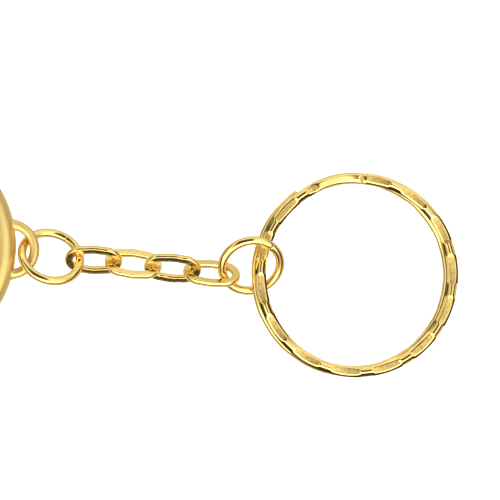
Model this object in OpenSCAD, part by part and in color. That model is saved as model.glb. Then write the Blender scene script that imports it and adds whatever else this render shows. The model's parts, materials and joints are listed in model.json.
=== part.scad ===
// Keychain: a round fob, a fixed bail, a cable chain between two jump rings and a split key ring.
// It lies flat, as on a table. The origin is the centre of the fob's flat back.
// X runs along the chain from the fob to the key ring, and Z points up, out of the fob's face.

/* [Fob] */
// Diameter of the fob over its rounded rim
fob_d = 33; // [28:0.5:42]
// Thickness of the front shell's half-round rim
rim_t = 3.8; // [3.2:0.1:5]
// Sheet thickness of the front shell
shell_wall = 0.8; // [0.6:0.05:1]
// Depth of the dished face below the crest of the rim
face_depth = 0.5; // [0.3:0.05:0.8]
// Height that the back plate stands proud of the front shell
back_proud = 1.85; // [1.2:0.05:2.6]
// Distance of the back plate's edge in from the rim's edge
back_inset = 3; // [2.6:0.1:4]
// Sheet thickness of the back plate
back_wall = 1; // [0.6:0.1:1.2]
// Depth that the back plate reaches into the front shell
back_seat = 0.75; // [0.5:0.05:0.9]

/* [Bail] */
// Wire diameter of the bail
bail_wire = 1.45; // [1.1:0.05:1.8]
// Radius of the bail to the middle of its wire
bail_r = 3.65; // [3.2:0.05:4.6]
// Distance of the bail's centre in from the rim's edge
bail_inset = 0.95; // [0.4:0.05:1.4]

/* [Jump rings] */
// Wire diameter of the two jump rings
ring_wire = 1.3; // [1:0.05:1.5]
// Inner diameter of the two jump rings
ring_bore = 7.3; // [6.6:0.1:9]
// Width of the saw cut where a jump ring was closed
seam_w = 0.08; // [0.04:0.02:0.2]

/* [Chain links] */
// Wire diameter of a link
link_wire = 1.25; // [1:0.05:1.35]
// Outer length of a link
link_l = 8.4; // [7.6:0.1:10]
// Outer width of a link
link_w = 5.2; // [4.9:0.1:6]
// Thickness of a link across its pressed flats
link_flat = 1; // [0.8:0.05:1.2]

/* [Key ring] */
// Outer diameter of the split ring
key_d = 30; // [25:0.5:36]
// Radial width of one coil
coil_w = 1.65; // [1.3:0.05:2]
// Height of one coil
coil_h = 1.15; // [0.9:0.05:1.4]
// Gap between the two coils
coil_gap = 0.06; // [0.04:0.01:0.12]
// Sideways step of the lower coil from the upper one
coil_shift = 0.45; // [0:0.05:0.5]
// Bevel along a coil's edges
coil_bevel = 0.2; // [0.1:0.05:0.3]
// Angle at which the upper coil ends
coil_end = 86; // [60:1:110]
// Angle taken by the ramp from the lower coil to the upper one
ramp_sweep = 40; // [30:1:60]

/* [Fits] */
// Gap left between two wires that hang in each other
play = 0.08; // [0.05:0.01:0.12]
// Gap between the front shell and the back plate seated in it
seat_gap = 0.02; // [0.01:0.01:0.05]

/* [Hidden] */
$fn = 64;
gold = [0.86, 0.70, 0.38];
bright_gold = [0.93, 0.78, 0.45];
edge_round = 0.4;
cut_margin = 1;

// Fob
fob_r = fob_d / 2;
rim_r = rim_t / 2;
rim_centre_r = fob_r - rim_r;
rim_z = back_proud + rim_r;
crest_z = rim_z + rim_r;
face_z = crest_z - face_depth;
back_r = fob_r - back_inset;
back_top = back_proud + back_seat;

// Bail, which leaves the rim at its widest height
bail_x = fob_r - bail_inset;
bail_pose = [[bail_x, 0, rim_z], 0, 0];
bail_sweep = 110;

// Jump rings
ring_r = (ring_bore + ring_wire) / 2;
seam_sweep = 2 * asin(seam_w / 2 / ring_r);
seam_a = 75;
seam_b = 40;

// A link's centreline is two straight sides joined by two half circles
end_r = (link_w - link_wire) / 2;
end_x = (link_l - link_wire) / 2 - end_r;

// Key ring
key_r = (key_d - coil_w) / 2;
coil_rise = coil_h + coil_gap;
key_h = 2 * coil_h + coil_gap;
coil_sweep = 360 - ramp_sweep;
ramp_lap = 1;
ramp_pitch = asin(coil_rise / 2 / (key_r * sin(ramp_sweep / 2)));
key_heading = -9.5;
key_slack = 1.2;
key_lift = ring_wire + 0.12;
key_tilt = asin(key_lift / key_d);

// How each piece of the chain lies: its heading, its roll, the angle on the piece before it that
// it bears on, and the angle on itself that bears there
lay = [[-19, 38, 28, 165],
       [-1, -43, 30.5, 139.5],
       [-4.5, 39, -13, 182.5],
       [-3.5, -42, -14, 189.5],
       [-3.5, 47.5, -4, 151.5],
       [13.5, -33, -38, 203.5]];

// Directions of a piece's own X and Y, and a point or direction of the piece in the model's frame
function along(pose) = [cos(pose[1]), sin(pose[1]), 0];
function across(pose) = [-sin(pose[1]) * cos(pose[2]), cos(pose[1]) * cos(pose[2]), -sin(pose[2])];
function turned(pose, p) = p[0] * along(pose) + p[1] * across(pose);
function placed(pose, p) = pose[0] + turned(pose, p);

// A point on a ring's centreline, and one on a link's round ends
function on_ring(r, a) = [r * cos(a), r * sin(a)];
function on_link(a) = [sign(cos(a)) * end_x + end_r * cos(a), end_r * sin(a)];
function tangent(a) = [-sin(a), cos(a)];

// Pose of a piece that hangs in the one before it: the two wires are a reach apart along the line
// that is square to both of them where they bear
function hung(parent, parent_point, parent_angle, heading, roll, point, angle, reach) =
    let (pose = [[0, 0, 0], heading, roll],
         bearing = placed(parent, parent_point),
         square = cross(turned(parent, tangent(parent_angle)), turned(pose, tangent(angle))),
         inward = square * (parent[0] - bearing) < 0 ? -square : square)
    [bearing + inward / norm(inward) * reach - turned(pose, point), heading, roll];

ring_a_pose = hung(bail_pose, on_ring(bail_r, lay[0][2]), lay[0][2], lay[0][0], lay[0][1],
                   on_ring(ring_r, lay[0][3]), lay[0][3], (bail_wire + ring_wire) / 2 + play);
link_1_pose = hung(ring_a_pose, on_ring(ring_r, lay[1][2]), lay[1][2], lay[1][0], lay[1][1],
                   on_link(lay[1][3]), lay[1][3], (ring_wire + link_wire) / 2 + play);
function next_link(parent, row) =
    hung(parent, on_link(row[2]), row[2], row[0], row[1], on_link(row[3]), row[3], link_wire + play);
link_2_pose = next_link(link_1_pose, lay[2]);
link_3_pose = next_link(link_2_pose, lay[3]);
link_4_pose = next_link(link_3_pose, lay[4]);
ring_b_pose = hung(link_4_pose, on_link(lay[5][2]), lay[5][2], lay[5][0], lay[5][1],
                   on_ring(ring_r, lay[5][3]), lay[5][3], (link_wire + ring_wire) / 2 + play);

// The key ring passes through the second jump ring, which lifts that side of it off the table
ring_b_end = placed(ring_b_pose, [ring_r, 0]);
key_reach = key_r - ring_wire / 2 - coil_w / 2 - key_slack;
key_centre = [ring_b_end[0] + key_reach * cos(key_heading),
              ring_b_end[1] + key_reach * sin(key_heading),
              key_h / 2 + key_d / 2 * sin(key_tilt)];

// Moves a piece drawn flat about its own centre to its pose
module put(pose) {
    translate(pose[0]) rotate([0, 0, pose[1]]) rotate([-pose[2], 0, 0]) children();
}

// Rolled sheet: half-round rim, dished face, open at the back
module front_shell() {
    color(gold) rotate_extrude($fn = 128) difference() {
        union() {
            translate([rim_centre_r, rim_z]) circle(r = rim_r);
            translate([0, face_z - shell_wall]) square([rim_centre_r, shell_wall]);
        }
        translate([rim_centre_r, rim_z]) circle(r = rim_r - shell_wall);
        square([back_r + seat_gap, face_z - shell_wall]);
        translate([0, face_z]) square([rim_centre_r - rim_r, rim_t]);
    }
}

// Shallow cup that closes the back and stands on the table
module back_plate() {
    color(gold) rotate_extrude($fn = 128) difference() {
        union() {
            square([back_r - edge_round, back_top]);
            translate([0, edge_round]) square([back_r, back_top - edge_round]);
            translate([back_r - edge_round, edge_round]) circle(r = edge_round);
        }
        translate([0, back_wall]) square([back_r - back_wall, back_top]);
    }
}

// Wire loop cut to sit against the rim
module bail() {
    color(gold) difference() {
        put(bail_pose) rotate([0, 0, -bail_sweep])
            rotate_extrude(angle = 2 * bail_sweep) translate([bail_r, 0]) circle(d = bail_wire);
        rotate_extrude($fn = 128) {
            translate([rim_centre_r, rim_z]) circle(r = rim_r);
            translate([0, back_proud]) square([rim_centre_r, rim_t]);
        }
    }
}

// Round wire bent to a ring, with a saw cut where its ends meet
module jump_ring(pose, seam) {
    color(bright_gold) put(pose) rotate([0, 0, seam + seam_sweep / 2])
        rotate_extrude(angle = 360 - seam_sweep) translate([ring_r, 0]) circle(d = ring_wire);
}

// Section of a link's wire, with its faces pressed flat
module link_section() {
    intersection() {
        circle(d = link_wire);
        square([link_wire + cut_margin, link_flat], center = true);
    }
}

module chain_link(pose) {
    color(bright_gold) put(pose) for (half = [0, 180]) rotate([0, 0, half]) {
        translate([end_x, 0, 0]) rotate([0, 0, -90])
            rotate_extrude(angle = 180) translate([end_r, 0]) link_section();
        translate([-end_x, end_r, 0]) rotate([90, 0, 90]) linear_extrude(2 * end_x) link_section();
    }
}

// Outline of one coil's section about its own middle, counted round from the inner lower bevel
function coil_outline() =
    let (w = coil_w / 2, h = coil_h / 2, b = coil_bevel)
    [[-w + b, -h], [w - b, -h], [w, -h + b], [w, h - b], [w - b, h], [-w + b, h], [-w, h - b], [-w, -h + b]];

module coil() {
    rotate([0, 0, coil_end + ramp_sweep]) rotate_extrude(angle = coil_sweep, $fn = 180)
        translate([key_r, 0]) polygon(coil_outline());
}

// The wire between the lower coil and the upper one, bent up at one end and down at the other
module ramp() {
    rotate([0, 0, coil_end + ramp_sweep / 2]) rotate([ramp_pitch, 0, 0])
        rotate([0, 0, -ramp_sweep / 2 - ramp_lap]) rotate_extrude(angle = ramp_sweep + 2 * ramp_lap, $fn = 180)
            translate([key_r, 0]) polygon(coil_outline());
}

module key_ring() {
    color(bright_gold) translate(key_centre) rotate([0, key_tilt, 0]) {
        translate([0, 0, coil_rise / 2]) coil();
        translate([-coil_shift, 0, -coil_rise / 2]) coil();
        ramp();
    }
}

front_shell();
back_plate();
bail();
jump_ring(ring_a_pose, seam_a);  // jump_ring_a
chain_link(link_1_pose);  // link_1
chain_link(link_2_pose);  // link_2
chain_link(link_3_pose);  // link_3
chain_link(link_4_pose);  // link_4
jump_ring(ring_b_pose, seam_b);  // jump_ring_b
key_ring();
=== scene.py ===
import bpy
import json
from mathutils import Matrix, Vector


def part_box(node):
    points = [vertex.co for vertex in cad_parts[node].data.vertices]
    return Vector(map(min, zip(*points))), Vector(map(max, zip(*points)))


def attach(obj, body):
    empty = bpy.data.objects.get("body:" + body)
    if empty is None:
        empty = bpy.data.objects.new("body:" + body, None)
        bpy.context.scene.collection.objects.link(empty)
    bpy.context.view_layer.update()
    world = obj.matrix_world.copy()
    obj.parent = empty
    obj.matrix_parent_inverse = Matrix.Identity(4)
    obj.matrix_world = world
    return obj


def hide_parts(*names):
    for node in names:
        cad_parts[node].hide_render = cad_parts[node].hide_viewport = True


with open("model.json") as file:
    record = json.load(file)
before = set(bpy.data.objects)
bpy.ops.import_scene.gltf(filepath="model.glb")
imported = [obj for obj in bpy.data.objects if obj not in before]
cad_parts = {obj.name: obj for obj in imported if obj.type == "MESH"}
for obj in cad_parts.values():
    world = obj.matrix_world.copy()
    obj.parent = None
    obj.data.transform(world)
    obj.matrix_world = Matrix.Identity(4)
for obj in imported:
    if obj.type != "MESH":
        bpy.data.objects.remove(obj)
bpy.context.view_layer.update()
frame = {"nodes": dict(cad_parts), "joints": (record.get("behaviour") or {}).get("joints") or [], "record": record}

import json
from math import atan2, cos, degrees, exp, hypot, pi, radians, sin, tan

import bmesh
import bpy
import numpy as np
from mathutils import Matrix, Vector

# Pieces are drawn flat about their own middle in millimetres, then laid in the frame in metres
MM = 0.001


# ---------------------------------------------------------------- camera

def set_camera():
    """Looks down on the chain from a little towards the fob, most of which is out of view"""
    turn, lean, tip, distance = radians(1.7), radians(3), radians(0.5), 0.45
    right = Vector((cos(turn), sin(turn), 0))
    up = Vector((-sin(turn), cos(turn), 0))
    back = (Vector((0, 0, 1)) - right * tan(lean) - up * tan(tip)).normalized()
    side = up.cross(back).normalized()
    # The key ring lies right of the middle of the view and a little below it
    low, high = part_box("key_ring")
    ring_middle = (low + high) / 2
    aim = Vector((ring_middle.x - 15.48 * MM, ring_middle.y + 3.19 * MM, 2 * MM))
    data = bpy.data.cameras.new("camera")
    data.lens, data.sensor_width = 221.4, 36
    data.clip_start, data.clip_end = 0.01, 10
    camera = bpy.data.objects.new("camera", data)
    bpy.context.collection.objects.link(camera)
    axes = Matrix((side, back.cross(side), back)).transposed()
    camera.matrix_world = Matrix.Translation(aim + back * distance) @ axes.to_4x4()
    bpy.context.scene.camera = camera


# ---------------------------------------------------------------- materials

def linear(code):
    """An sRGB hex colour as the linear RGBA that the shader takes"""
    parts = [int(code[i:i + 2], 16) / 255 for i in (1, 3, 5)]
    return [c / 12.92 if c <= 0.04045 else ((c + 0.055) / 1.055) ** 2.4 for c in parts] + [1]


def add_node(tree, kind, inputs=(), **settings):
    """Adds a node with its settings; an input is given a value, or a socket to link from"""
    node = tree.nodes.new(kind)
    for name, value in settings.items():
        setattr(node, name, value)
    for name, value in dict(inputs).items():
        if isinstance(value, bpy.types.NodeSocket):
            tree.links.new(value, node.inputs[name])
        else:
            node.inputs[name].default_value = value
    return node


def set_ramp(node, stops):
    """Sets a colour ramp's stops to place and colour"""
    ramp = node.color_ramp
    while len(ramp.elements) < len(stops):
        ramp.elements.new(0.5)
    for element, (place, colour) in zip(ramp.elements, stops):
        element.position = place
        element.color = colour
    return node


def grey(value):
    return (value, value, value, 1)


def gold_plate(name, light, deep, grain_mm, rough, relief_mm, strength):
    """Gold over nickel on formed metal. The plate is thinner and redder in places, and the metal
    under it shows through as fine waviness of the forming and a little haze from handling. A deep colour much
    darker than the light one paints shade into the plate as flecks."""
    material = bpy.data.materials.new(name)
    material.use_nodes = True
    tree = material.node_tree
    tree.nodes.clear()
    place = add_node(tree, "ShaderNodeTexCoord").outputs["Object"]
    # Noise scale is in cycles a metre, so one over the grain's size
    cloud = add_node(tree, "ShaderNodeTexNoise", {"Vector": place, "Scale": 1 / (6 * grain_mm * MM),
                                                  "Detail": 3.0, "Roughness": 0.6})
    grain = add_node(tree, "ShaderNodeTexNoise", {"Vector": place, "Scale": 1 / (grain_mm * MM),
                                                  "Detail": 4.0, "Roughness": 0.65})
    # The cloud noise mixes the deep colour into the light one: random plate tone, and painted shade where the deep
    # colour is much darker
    tone_and_painted_shade = set_ramp(add_node(tree, "ShaderNodeValToRGB", {"Fac": cloud.outputs["Fac"]}),
                    [(0.35, linear(deep)), (0.65, linear(light))])
    haze = set_ramp(add_node(tree, "ShaderNodeValToRGB", {"Fac": grain.outputs["Fac"]}),
                    [(0.3, grey(rough[0])), (0.75, grey(rough[1]))])
    relief = add_node(tree, "ShaderNodeBump", {"Height": grain.outputs["Fac"], "Strength": strength,
                                               "Distance": relief_mm * MM})
    shader = add_node(tree, "ShaderNodeBsdfPrincipled",
                      {"Base Color": tone_and_painted_shade.outputs["Color"], "Metallic": 1.0,
                       "Roughness": haze.outputs["Color"], "Normal": relief.outputs["Normal"]})
    add_node(tree, "ShaderNodeOutputMaterial", {"Surface": shader.outputs["BSDF"]})
    return material


# ---------------------------------------------------------------- modelling helpers

def choose(piece):
    """Makes a piece the only one that the next operators work on"""
    bpy.ops.object.select_all(action="DESELECT")
    piece.select_set(True)
    bpy.context.view_layer.objects.active = piece


def start_edit(piece):
    choose(piece)
    bpy.ops.object.mode_set(mode="EDIT")
    bpy.ops.mesh.select_all(action="SELECT")


def begin(name):
    """Names the shape that was just added as a new piece, and opens it for editing"""
    bpy.ops.object.transform_apply(location=True, rotation=True, scale=True)
    piece = bpy.context.active_object
    piece.name = piece.data.name = name
    start_edit(piece)
    return piece


def add_circle(name, radius, centre, count):
    """An upright circle of wire section, standing across the line that it is spun along"""
    bpy.ops.object.select_all(action="DESELECT")
    bpy.ops.mesh.primitive_circle_add(vertices=count, radius=radius, location=centre,
                                      rotation=(pi / 2, 0, 0))
    return begin(name)


def pick(piece, kind, test):
    """Selects the vertices, edges or faces that pass a test, and nothing else"""
    bpy.ops.mesh.select_mode(type=kind)
    bpy.ops.mesh.select_all(action="DESELECT")
    mesh = bmesh.from_edit_mesh(piece.data)
    for part in {"VERT": mesh.verts, "EDGE": mesh.edges, "FACE": mesh.faces}[kind]:
        if test(part):
            part.select_set(True)
    bmesh.update_edit_mesh(piece.data)


def spin(steps, sweep, centre=(0, 0, 0)):
    """Spins the selected section anticlockwise about an upright axis"""
    bpy.ops.mesh.spin(steps=steps, angle=radians(sweep), center=centre, axis=(0, 0, -1))


def pull(value):
    bpy.ops.mesh.extrude_region_move(TRANSFORM_OT_translate={"value": value})


def close_ends(piece):
    """Puts a face on each open end of a wire"""
    pick(piece, "EDGE", lambda edge: edge.is_boundary)
    bpy.ops.mesh.edge_face_add()


def end_edit(smooth_deg=40):
    """Merges what coincides, turns every face outwards and shades the piece"""
    bpy.ops.mesh.select_all(action="SELECT")
    bpy.ops.mesh.remove_doubles(threshold=0.0005)
    bpy.ops.mesh.normals_make_consistent(inside=False)
    bpy.ops.object.mode_set(mode="OBJECT")
    bpy.ops.object.shade_smooth_by_angle(angle=radians(smooth_deg))


def apply_modifier(piece, kind, **settings):
    choose(piece)
    modifier = piece.modifiers.new(kind.lower(), kind)
    for name, value in settings.items():
        setattr(modifier, name, value)
    bpy.ops.object.modifier_apply(modifier=modifier.name)


def weigh(piece, name, weights):
    """Gives the piece a vertex group with one weight for each vertex"""
    group = piece.vertex_groups.new(name=name)
    for i, weight in enumerate(weights):
        group.add([i], min(1, max(0, weight)), "REPLACE")


def lay(piece, place):
    """Moves a piece drawn in millimetres to its place in the frame, and applies the move"""
    piece.matrix_world = place @ Matrix.Scale(MM, 4)
    choose(piece)
    bpy.ops.object.transform_apply(location=True, rotation=True, scale=True)


def place_of(node):
    """Where a flat piece lies: its middle, its own X level and its own Z along its thin way"""
    mesh = frame["nodes"][node].data
    centres = np.array([face.center for face in mesh.polygons])
    areas = np.array([face.area for face in mesh.polygons])
    middle = (centres * areas[:, None]).sum(0) / areas.sum()
    spread = (centres - middle).T @ ((centres - middle) * areas[:, None])
    thin = Vector(np.linalg.eigh(spread)[1][:, 0])
    thin = thin if thin.z > 0 else -thin
    level = Vector((-thin.y, thin.x, 0)).normalized()
    level = level if level.x > 0 else -level
    axes = Matrix((level, thin.cross(level), thin)).transposed()
    corners = np.array([v.co for v in mesh.vertices]) @ np.array(axes)
    middle = axes @ Vector((corners.min(0) + corners.max(0)) / 2)
    return Matrix.Translation(middle) @ axes.to_4x4()


def finish_piece(piece, node, body, slot, *materials):
    """Gives a piece its finishes and the body that it rides on, and hides the node that it stands for"""
    for material in materials:
        piece.data.materials.append(material)
    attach(piece, body)
    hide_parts(node)


def step_up(x):
    """Goes smoothly from 0 to 1, level at both ends"""
    x = min(1, max(0, x))
    return x * x * x * (x * (6 * x - 15) + 10)


# ---------------------------------------------------------------- fob

RIM_R, RIM_X, RIM_Z, FACE_Z = 1.9, 14.6, 3.75, 5.15
RIM_UNDER_Z, SHEET = 1.9, 0.45
BACK_R, BACK_TOP, BACK_WALL, BACK_EDGE = 13.5, 2.6, 1, 0.4
# The channel in the base: how far in it lies, its sloping sides, its depth and its floor's width
CHANNEL_IN, CHANNEL_SIDE, CHANNEL_DEEP, CHANNEL_FLOOR = 1.4, 0.35, 0.18, 0.5
BAIL_R, BAIL_WIRE, BAIL_SWEEP = 3.65, 1.45, 224
# From the face's edge to its middle: out of the rolled edge, over the bead and across the field
FACE_LINE = [(13.0, 5.15), (12.6, 5.14), (12.35, 5.2), (12.15, 5.28), (11.9, 5.3), (11.65, 5.28),
             (11.45, 5.2), (11.2, 5.14), (10.8, 5.12), (8, 5.12), (5, 5.12), (2, 5.12), (0, 5.12)]


def make_front_shell():
    """Sheet rolled over into a round rim about a dished face"""
    piece = add_circle("front_shell", RIM_R, (RIM_X, 0, RIM_Z), 64)
    pick(piece, "VERT", lambda v: v.co.x < RIM_X and RIM_UNDER_Z < v.co.z < FACE_Z - 0.02)
    bpy.ops.mesh.delete(type="VERT")
    # The face runs in from the upper end of the rolled edge, with a low bead pressed round it
    pick(piece, "VERT", lambda v: len(v.link_edges) == 1 and v.co.z > RIM_Z)
    at = next(v.co.copy() for v in bmesh.from_edit_mesh(piece.data).verts if v.select)
    for x, z in FACE_LINE:
        pull((x - at.x, 0, z - at.z))
        at = Vector((x, 0, z))
    bpy.ops.mesh.select_all(action="SELECT")
    spin(192, 360)
    end_edit(35)
    # The wall is thinner than the real sheet's so that it stays clear of the back plate
    apply_modifier(piece, "SOLIDIFY", thickness=SHEET, offset=-1, use_rim=True)
    return piece


def make_back_plate():
    """Shallow cup that closes the back, with a turned edge and a channel pressed in its base"""
    bpy.ops.object.select_all(action="DESELECT")
    bpy.ops.mesh.primitive_cylinder_add(vertices=192, radius=BACK_R, depth=BACK_TOP,
                                        location=(0, 0, BACK_TOP / 2), end_fill_type="NGON")
    piece = begin("back_plate")
    # The base: the channel's outer side, its floor and its inner side, then the flat middle
    pick(piece, "FACE", lambda f: f.normal.z < -0.9)
    bpy.ops.mesh.inset(thickness=CHANNEL_IN)
    bpy.ops.mesh.inset(thickness=CHANNEL_SIDE)
    bpy.ops.transform.translate(value=(0, 0, CHANNEL_DEEP))
    bpy.ops.mesh.inset(thickness=CHANNEL_FLOOR)
    bpy.ops.mesh.inset(thickness=CHANNEL_SIDE)
    bpy.ops.transform.translate(value=(0, 0, -CHANNEL_DEEP))
    bpy.ops.mesh.inset(thickness=9)
    # The open side: the wall's top, then the hollow
    pick(piece, "FACE", lambda f: f.normal.z > 0.9)
    bpy.ops.mesh.inset(thickness=BACK_WALL)
    pull((0, 0, BACK_WALL - BACK_TOP))
    pick(piece, "EDGE", lambda e: all(v.co.z < 0.01 and hypot(v.co.x, v.co.y) > BACK_R - 0.01
                                      for v in e.verts))
    bpy.ops.mesh.bevel(offset=BACK_EDGE, segments=5, affect="EDGES")
    end_edit(35)
    return piece


def make_bail(place_x):
    """Wire loop whose two ends are soldered to the rim, with solder drawn up round each end"""
    piece = add_circle("bail", BAIL_WIRE / 2, (BAIL_R, 0, 0), 32)
    bpy.ops.transform.rotate(value=radians(BAIL_SWEEP / 2), orient_axis="Z",
                             center_override=(0, 0, 0))
    spin(84, BAIL_SWEEP)
    close_ends(piece)
    bpy.ops.mesh.select_all(action="SELECT")
    bpy.ops.mesh.normals_make_consistent(inside=False)
    bpy.ops.object.mode_set(mode="OBJECT")
    # Solder: the wire swells as it nears the rim, and is back to its own size within a millimetre
    reach, fall = 0.35, 0.28
    swell = []
    for v in piece.data.vertices:
        off_rim = hypot(v.co.x + place_x, v.co.y) - (RIM_X + RIM_R)
        swell.append(exp(-max(0, off_rim + reach) / fall))
    weigh(piece, "solder", swell)
    apply_modifier(piece, "DISPLACE", direction="NORMAL", mid_level=0, strength=0.3,
                   vertex_group="solder")
    start_edit(piece)
    end_edit()
    return piece


# ---------------------------------------------------------------- rings and links

RING_R, RING_WIRE = 4.3, 1.3


def make_jump_ring(name, seam, cut, sprung):
    """Round wire closed by hand, with a saw cut where its ends meet, a hair out of line: the
    seam's place and the cut's width in degrees, and how far one end has sprung aside"""
    piece = add_circle(name, RING_WIRE / 2, (RING_R, 0, 0), 32)
    bpy.ops.transform.rotate(value=-radians(seam + cut / 2), orient_axis="Z",
                             center_override=(0, 0, 0))
    spin(120, 360 - cut)
    close_ends(piece)
    # The saw cut's edges are dulled in the tumbler
    pick(piece, "EDGE", lambda e: any(len(f.verts) > 4 for f in e.link_faces))
    bpy.ops.mesh.bevel(offset=0.05, segments=2, affect="EDGES")
    end_edit(30)
    # The last tenth of the wire is the end that has sprung
    along = [((degrees(atan2(v.co.y, v.co.x)) - seam) % 360) / 360 for v in piece.data.vertices]
    weigh(piece, "sprung", [max(0, (a - 0.9) / 0.1) ** 2 for a in along])
    apply_modifier(piece, "DISPLACE", direction="Z", mid_level=0, strength=sprung,
                   vertex_group="sprung")
    return piece


LINK_END_R, LINK_END_X, LINK_WIRE = 1.975, 1.6, 1.25
# Where the press meets the wire, how far from its middle the flat is, and how much of the round
# is left in it
PRESS_FROM, PRESS_TO, PRESS_LEFT = 0.4, 0.44, 0.12
# How far the sides bow out, and the share of the width that is left once they are drawn in again
BOW, DRAWN_IN = 0.17, 0.94
# A pressed face's normal has at least this much of the pressing's direction in it
PRESSED_FACE = 0.93


def make_link(name):
    """Drawn wire bent to an oval, soldered shut, and pressed flat on its two faces"""
    piece = add_circle(name, LINK_WIRE / 2, (LINK_END_R, 0, 0), 40)
    bpy.ops.transform.resize(value=(1.03, 1, 1), center_override=(LINK_END_R, 0, 0))
    for side in (1, -1):
        pick(piece, "VERT", lambda v: v.co.z * side > PRESS_FROM)
        bpy.ops.transform.resize(value=(1.04, 1, PRESS_LEFT),
                                 center_override=(LINK_END_R, 0, side * PRESS_TO))
    bpy.ops.mesh.select_all(action="SELECT")
    bpy.ops.transform.translate(value=(LINK_END_X, 0, 0))
    bpy.ops.transform.rotate(value=radians(90), orient_axis="Z",
                             center_override=(LINK_END_X, 0, 0))
    spin(28, 180, (LINK_END_X, 0, 0))
    runs = 10
    bow = [BOW * sin(pi * i / runs) ** 1.5 for i in range(runs + 1)]
    for side in (1, -1):
        for i in range(runs):
            pull((-side * 2 * LINK_END_X / runs, side * (bow[i + 1] - bow[i]), 0))
        if side == 1:
            spin(28, 180, (-LINK_END_X, 0, 0))
    # The bowed sides are drawn in again to the link's own width
    bpy.ops.mesh.select_all(action="SELECT")
    bpy.ops.transform.resize(value=(1, DRAWN_IN, 1), center_override=(0, 0, 0))
    end_edit(24)
    apply_modifier(piece, "BEVEL", width=0.05, segments=2, limit_method="ANGLE",
                   angle_limit=radians(24))
    # The pressed faces have their own finish
    for face in piece.data.polygons:
        face.material_index = 1 if abs(face.normal.z) > PRESSED_FACE else 0
    return piece


# ---------------------------------------------------------------- split ring

COIL_R, COIL_HALF_W, COIL_HALF_H = 14.175, 0.825, 0.575
COIL_RISE, COIL_SHIFT = 1.21, 0.45
# The wire starts under the ramp's end, goes round, climbs the ramp and goes round again
WIRE_START, WIRE_SWEEP, RAMP_SWEEP, RAMP_START = 126, 680, 40, 446
SECTION, WIRE_STEPS = 44, 1360
# Facets: from one to the next, where one of them lies and half a facet's length, in degrees
FACET_PITCH, FACET_FIRST, FACET_HALF = 25.08, 499.4, 8.5
# How deep a facet's ends are and how much deeper its middle is, and how blunt its ends are
FACET_DEPTH, FACET_HOLLOW, END_ROUND, SCOOP_SLOPE = 0.17, 0.09, 1.3, 1.1
# The rib's rounded crest and its straight slopes
CREST_HALF, CREST_ROUND, ROOF_SLOPE = 0.2, 0.9, tan(radians(38))
# How much less the ramp is pressed, how far the wire is pinched in between facets, the deepest
# press of all, and how far the pattern underneath is out of step with the one on top
RAMP_SLACK, WAIST, DEEPEST, UNDER_STEP = 0.28, 0.05, 0.6, 8
# What counts as a facet's satin floor: how far in from its ends in degrees, how deep and how level
SATIN_IN, SATIN_DEEP, SATIN_LEVEL = 0.2, 0.04, 0.97
ARC_MM = COIL_R * pi / 180


def soft_min(a, b, blend=0.03):
    """The lower of two heights, with the corner between them rounded"""
    k = max(blend - abs(a - b), 0) / blend
    return min(a, b) - k * k * blend / 4


def facet_distance(turn):
    """How far along the wire a point is from the middle of the nearest facet, in degrees"""
    return abs((turn - FACET_FIRST + FACET_PITCH / 2) % FACET_PITCH - FACET_PITCH / 2)


def slack(turn):
    """How far short of the die the wire lies on the ramp, where it was pressed least"""
    into = turn - RAMP_START
    if not 0 < into < RAMP_SWEEP:
        return 0
    return RAMP_SLACK * step_up((into + 1) / 4) * (1 - step_up((into - 26) / 9))


def facet_end(across):
    """Half a facet's length at a place across the wire, in degrees: its ends are rounded"""
    return FACET_HALF - END_ROUND * (across / 0.55) ** 2


def pressed(across, height, turn):
    """How far the die presses a point of the wire down: a roof-shaped rib all along, with long
    facets let into it whose ends are scooped"""
    if height <= 0:
        return 0
    lift = slack(turn)
    # The rib's crest is rounded, and its two slopes are straight
    far = max(0, abs(across) - CREST_HALF)
    crest = COIL_HALF_H - min(abs(across), CREST_HALF) ** 2 * CREST_ROUND
    roof = crest - far * ROOF_SLOPE + 2 * lift
    scoop = max(0, facet_distance(turn) - facet_end(across)) * ARC_MM * SCOOP_SLOPE
    # A facet's floor is hollow along its length
    hollow = FACET_HOLLOW * (1 - (facet_distance(turn) / FACET_HALF) ** 2)
    facet = COIL_HALF_H - FACET_DEPTH - hollow + scoop + lift
    return height - soft_min(height, soft_min(roof, facet))


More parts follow.
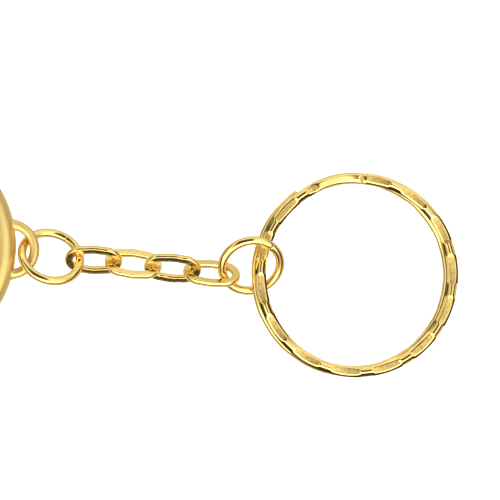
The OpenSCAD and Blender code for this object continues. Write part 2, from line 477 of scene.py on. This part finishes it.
def make_key_ring():
    """Two coils of half-oval wire joined by a ramp, with a bamboo pattern pressed in both faces"""
    piece = add_circle("key_ring", 1, (0, 0, 0), SECTION)
    bpy.ops.transform.resize(value=(COIL_HALF_W, 1, COIL_HALF_H), center_override=(0, 0, 0))
    bpy.ops.transform.translate(value=(COIL_R, 0, 0))
    bpy.ops.transform.rotate(value=-radians(WIRE_START), orient_axis="Z",
                             center_override=(0, 0, 0))
    bpy.ops.object.mode_set(mode="OBJECT")
    # The screw adds one section at each step, so a vertex's turn along the wire is known
    apply_modifier(piece, "SCREW", axis="Z", angle=radians(WIRE_SWEEP), steps=WIRE_STEPS,
                   render_steps=WIRE_STEPS, screw_offset=0)
    turns = [WIRE_START + i // SECTION * WIRE_SWEEP / WIRE_STEPS
             for i in range(len(piece.data.vertices))]
    spots = [(hypot(v.co.x, v.co.y) - COIL_R, v.co.z) for v in piece.data.vertices]
    climb = [step_up((turn - RAMP_START) / RAMP_SWEEP) for turn in turns]
    top, under, waist = [], [], []
    for turn, (across, height), raised in zip(turns, spots, climb):
        top.append(pressed(across, height, turn) * step_up((turn - RAMP_START + 1) / 1.5))
        under_press = pressed(across, -height, turn + UNDER_STEP)
        under.append(under_press * (1 - step_up((turn - RAMP_START) / 6)))
        ridge = step_up((facet_distance(turn) - 7) / 3)
        waist.append(ridge * (abs(across) / COIL_HALF_W) ** 4 if slack(turn) < 0.1 else 0)
    weigh(piece, "waist", waist)
    weigh(piece, "top", [p / DEEPEST for p in top])
    weigh(piece, "under", [p / DEEPEST for p in under])
    weigh(piece, "climb", climb)
    start_edit(piece)
    close_ends(piece)
    bpy.ops.mesh.select_all(action="SELECT")
    bpy.ops.mesh.normals_make_consistent(inside=False)
    bpy.ops.object.mode_set(mode="OBJECT")
    for group, direction, strength in (("waist", "NORMAL", -WAIST), ("top", "Z", -DEEPEST),
                                       ("under", "Z", DEEPEST), ("climb", "Z", COIL_RISE),
                                       ("climb", "X", COIL_SHIFT)):
        apply_modifier(piece, "DISPLACE", direction=direction, strength=strength, mid_level=0,
                       vertex_group=group)
    piece.data.transform(Matrix.Translation((-COIL_SHIFT, 0, -COIL_RISE / 2)))
    # Faces on a facet's floor keep the die's satin; the rest was polished
    for face in piece.data.polygons:
        corner = min(face.vertices)
        across, height = spots[corner]
        step = 0 if height > 0 else UNDER_STEP
        on_facet = facet_distance(turns[corner] + step) < facet_end(across) - SATIN_IN
        deep = (top[corner] if height > 0 else under[corner]) > SATIN_DEEP
        level = abs(face.normal.z) > SATIN_LEVEL
        face.material_index = 1 if on_facet and deep and level else 0
    bpy.ops.object.shade_smooth_by_angle(angle=radians(50))
    return piece


# ---------------------------------------------------------------- set and light

def make_floor():
    """A pale matt board, far enough under the object that the chain can hang at its full length"""
    bpy.ops.object.select_all(action="DESELECT")
    bpy.ops.mesh.primitive_plane_add(size=8, location=(0.05, 0, -0.08))
    board = bpy.context.active_object
    board.name = "floor"
    material = bpy.data.materials.new("matt_white_board")
    material.use_nodes = True
    tree = material.node_tree
    tree.nodes.clear()
    # The board glows a little, which shows only where it is looked at directly
    matt = add_node(tree, "ShaderNodeBsdfDiffuse", {"Color": linear("#CCCAC3")})
    lit = add_node(tree, "ShaderNodeEmission", {"Color": linear("#FFFFFF"), "Strength": 0.8})
    both = add_node(tree, "ShaderNodeAddShader", {0: matt.outputs[0], 1: lit.outputs[0]})
    ray = add_node(tree, "ShaderNodeLightPath")
    seen = add_node(tree, "ShaderNodeMixShader", {0: ray.outputs["Is Camera Ray"],
                                                  1: matt.outputs[0], 2: both.outputs[0]})
    add_node(tree, "ShaderNodeOutputMaterial", {"Surface": seen.outputs[0]})
    board.data.materials.append(material)


def fade(tree, value, start, end, strength=1.0):
    """Goes smoothly from nothing at the start to full strength at the end"""
    return add_node(tree, "ShaderNodeMapRange", {
        "Value": value, "From Min": start, "From Max": end, "To Min": 0.0, "To Max": strength},
        interpolation_type="SMOOTHSTEP").outputs[0]


def combine(tree, operation, a, b):
    return add_node(tree, "ShaderNodeMath", {0: a, 1: b}, operation=operation).outputs[0]


def set_light():
    """Soft light all round above the board, with a dark gap overhead where the lens looks in, a
    bright lamp on the near side and a low white card behind the object"""
    world = bpy.data.worlds.new("studio")
    bpy.context.scene.world = world
    world.use_nodes = True
    tree = world.node_tree
    tree.nodes.clear()
    way = add_node(tree, "ShaderNodeTexCoord").outputs["Generated"]
    parts = add_node(tree, "ShaderNodeSeparateXYZ", {"Vector": way}).outputs
    # Places are parts of a direction of length 1: X to the right, Y away and Z up. The tent starts
    # above the board's edge and grows brighter overhead
    tent = combine(tree, "ADD", fade(tree, parts["Z"], 0.28, 0.44, 0.82),
                   fade(tree, parts["Z"], 0.5, 0.92, 0.7))
    # The gap is long from front to back and a little left of the middle
    off_gap = combine(tree, "ABSOLUTE", combine(tree, "ADD", parts["X"], 0.15), 0.0)
    gap = combine(tree, "MULTIPLY", fade(tree, off_gap, 0.5, 0.33, 0.97),
                  combine(tree, "MULTIPLY", fade(tree, parts["Y"], -0.3, -0.14),
                          fade(tree, parts["Y"], 0.88, 0.66)))
    tent = combine(tree, "MULTIPLY", tent, combine(tree, "SUBTRACT", 1.0, gap))
    lamp = combine(tree, "MULTIPLY", fade(tree, parts["Y"], -0.24, -0.4, 1.9),
                   fade(tree, parts["Z"], 0.4, 0.6))
    card = combine(tree, "MULTIPLY", fade(tree, parts["Y"], 0.45, 0.75, 0.9),
                   fade(tree, parts["Z"], 0.5, 0.38))
    # A little light comes from everywhere else
    total = combine(tree, "ADD", combine(tree, "ADD", tent, lamp), combine(tree, "ADD", card, 0.04))
    sky = add_node(tree, "ShaderNodeBackground", {"Strength": total, "Color": linear("#FFFEFB")})
    add_node(tree, "ShaderNodeOutputWorld", {"Surface": sky.outputs["Background"]})
    bpy.context.scene.view_settings.view_transform = "Standard"


# ---------------------------------------------------------------- build

set_camera()
set_light()
make_floor()

# Wire tumbled bright before plating: close to a mirror, so it draws the lamp as white lines and
# the gap in the tent as dark ones
bright = gold_plate("bright_gold_plate", light="#FFE08E", deep="#FAD47A",
                    grain_mm=0.5, rough=(0.05, 0.11), relief_mm=0.006, strength=0.35)
# Flats left by the press: a slight haze and waviness that soften what they reflect
pressed_gold = gold_plate("gold_plate_on_pressed_flats", light="#FFE192", deep="#F6D27C",
                          grain_mm=0.35, rough=(0.1, 0.22), relief_mm=0.02, strength=0.8)
# The die's hatched floor: satin, with darker flecks that are painted shade in the hatching's pits;
# they are drawn a little coarser than real hatching so that they show
satin = gold_plate("satin_gold_plate_with_painted_pit_shade", light="#FFE495", deep="#DFB561",
                   grain_mm=0.07, rough=(0.27, 0.42), relief_mm=0.01, strength=0.8)
# Pressed sheet and soldered wire, brushed on a soft wheel: wide soft highlights
fob_gold = gold_plate("gold_plate_on_pressed_sheet", light="#F2D488", deep="#EDCE81",
                      grain_mm=0.8, rough=(0.42, 0.52), relief_mm=0.01, strength=0.3)

shell = make_front_shell()
lay(shell, Matrix.Identity(4))
finish_piece(shell, "front_shell", "fob", "fob_metal", fob_gold)
plate = make_back_plate()
lay(plate, Matrix.Identity(4))
finish_piece(plate, "back_plate", "fob", "fob_metal", fob_gold)

hinge = next(j for j in frame["joints"] if j["name"] == "bail_swing")
bail_at = Vector(hinge["pos_m"])
bail = make_bail(bail_at.x / MM)
lay(bail, Matrix.Translation(bail_at))
finish_piece(bail, "bail", "fob", "fob_metal", fob_gold)

# The first ring is closed well
ring_a = make_jump_ring("jump_ring_a", seam=75, cut=0.7, sprung=0.02)
lay(ring_a, place_of("jump_ring_a"))
finish_piece(ring_a, "jump_ring_a", "ring_a", "chain_metal", bright)

for number in (1, 2, 3, 4):
    name = f"link_{number}"
    link = make_link(name)
    lay(link, place_of(name))
    finish_piece(link, name, f"chain_{number}", "chain_metal", bright, pressed_gold)

# The second ring's ends are a little apart and out of line
ring_b = make_jump_ring("jump_ring_b", seam=40, cut=1.2, sprung=0.07)
lay(ring_b, place_of("jump_ring_b"))
finish_piece(ring_b, "jump_ring_b", "ring_b", "chain_metal", bright)

# The split ring is laid square to the axis of the loop that keys hang on, its own X towards +X
loop = next(m for m in frame["record"]["mounts"] if m["name"] == "key_loop")
axis = Vector(loop["axis"])
own_x = Vector((axis.z, 0, -axis.x)).normalized()
axes = Matrix((own_x, axis.cross(own_x), axis)).transposed()
split = make_key_ring()
lay(split, Matrix.Translation(Vector(loop["pos_m"])) @ axes.to_4x4())
finish_piece(split, "key_ring", "split_ring", "key_ring_metal", bright, satin)
